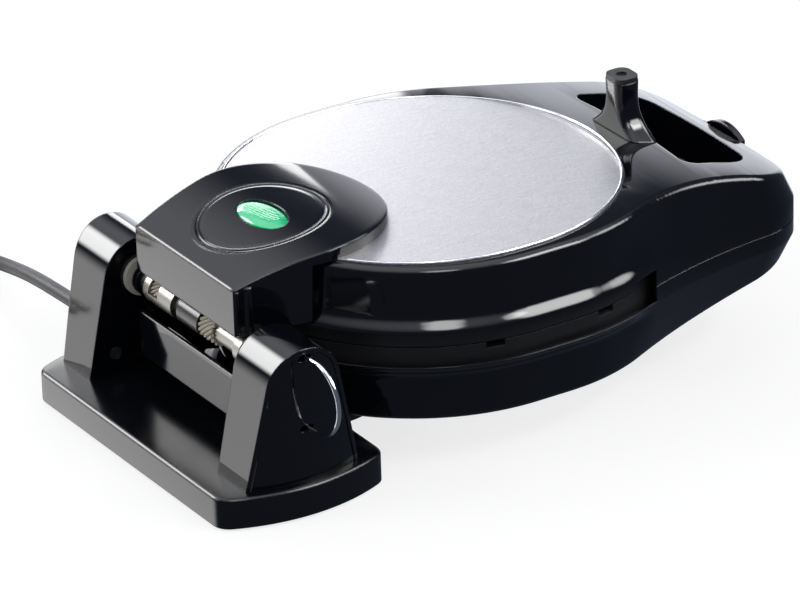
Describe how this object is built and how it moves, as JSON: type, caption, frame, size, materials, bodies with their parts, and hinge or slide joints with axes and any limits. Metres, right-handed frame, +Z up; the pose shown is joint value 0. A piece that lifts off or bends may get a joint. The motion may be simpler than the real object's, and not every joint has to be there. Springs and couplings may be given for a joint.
{
  "type": "rotating waffle maker",
  "caption": "Tabletop waffle maker: two hinged halves with a latched handle turn over together on a pivot tube held by two uprights on a base.",
  "frame": {"origin": "on the table under the middle of the pivot tube", "axes": "+X from the pivot to the handle, +Y along the pivot to the upright with the cord, +Z up"},
  "size_m": [0.4666, 0.5053, 0.1375],
  "materials": {
    "black_gloss": "polished black moulding",
    "black_satin": "fine satin black moulding",
    "sheet_steel": "plain sheet steel",
    "rubber": "matt black rubber",
    "bush": "natural acetal",
    "terminal": "cream terminal block",
    "cord_jacket": "matt black jacket",
    "brass": "nickel-free brass",
    "tube_steel": "dull rolled steel",
    "sleeve": "cream glass-fibre sleeve",
    "brushed_steel": "fine straight grain",
    "green_lens": "clear green, ribbed underneath",
    "lamp_glass": "clear",
    "coated_cast": "cast, with a black non-stick coating",
    "element_tube": "oxidised steel tube",
    "chrome_wire": "bright wire"
  },
  "bodies": {
    "stand": {"base_shell": "black_gloss", "base_bottom_cover": "black_satin", "base_screws": "sheet_steel", "base_pad": "rubber", "near_upright": "black_gloss", "far_upright": "black_gloss", "near_upright_plate": "black_gloss", "far_upright_plate": "black_gloss", "upright_screws": "sheet_steel", "near_bush": "bush", "far_bush": "bush", "terminal_block": "terminal", "strain_relief": "rubber", "supply_cord": "cord_jacket", "cord_coil": "cord_jacket", "cord_tie": "rubber", "plug_body": "rubber", "plug_pins": "brass"},
    "lower_half": {"pivot_tube": "tube_steel", "lock_disc": "sheet_steel", "tube_collar": "black_gloss", "far_lead_sleeve": "sleeve", "near_lead_sleeve": "sleeve", "lower_shell": "black_gloss", "lower_disc": "brushed_steel", "lower_hinge_cover": "black_gloss", "lower_insert": "black_gloss", "lower_lens": "green_lens", "lower_lamp": "lamp_glass", "lower_foot": "black_gloss", "lower_foot_tip": "rubber", "lower_waffle_plate": "coated_cast", "lower_heating_element": "element_tube", "lower_heat_shield": "sheet_steel", "lower_hinge_bracket": "black_satin", "lower_shell_screws": "sheet_steel"},
    "upper_half": {"thermostat": "sheet_steel", "latch_pin": "sheet_steel", "upper_shell": "black_gloss", "upper_disc": "brushed_steel", "upper_hinge_cover": "black_gloss", "upper_insert": "black_gloss", "upper_lens": "green_lens", "upper_lamp": "lamp_glass", "upper_foot": "black_gloss", "upper_foot_tip": "rubber", "upper_waffle_plate": "coated_cast", "upper_heating_element": "element_tube", "upper_heat_shield": "sheet_steel", "upper_hinge_bracket": "tube_steel", "upper_shell_screws": "sheet_steel"},
    "latch": {"latch_clip": "black_gloss"},
    "lock": {"lock_yoke": "black_satin"},
    "ring": {"pull_ring": "chrome_wire"}
  },
  "joints": [
    {"name": "flip", "type": "hinge", "parent": "stand", "child": "lower_half", "pos_m": [0, 0, 0.0685], "axis": [0, -1, 0], "range_deg": [0, 180]},
    {"name": "lid", "type": "hinge", "parent": "lower_half", "child": "upper_half", "pos_m": [0, 0, 0.0685], "axis": [0, 1, 0], "range_deg": [-92, 0]},
    {"name": "latch_rock", "type": "hinge", "parent": "upper_half", "child": "latch", "pos_m": [0.31858, 0, 0.0785], "axis": [0, 1, 0], "range_deg": [-10, 0], "stiffness_Nm_per_rad": 0.05},
    {"name": "lock_slide", "type": "slide", "parent": "stand", "child": "lock", "axis": [0, -1, 0], "range_m": [-0.004, 0.001]},
    {"name": "ring_swing", "type": "hinge", "parent": "lock", "child": "ring", "pos_m": [0, -0.091, 0.0685], "axis": [0, 0, 1], "range_deg": [-17, 8]}
  ]
}
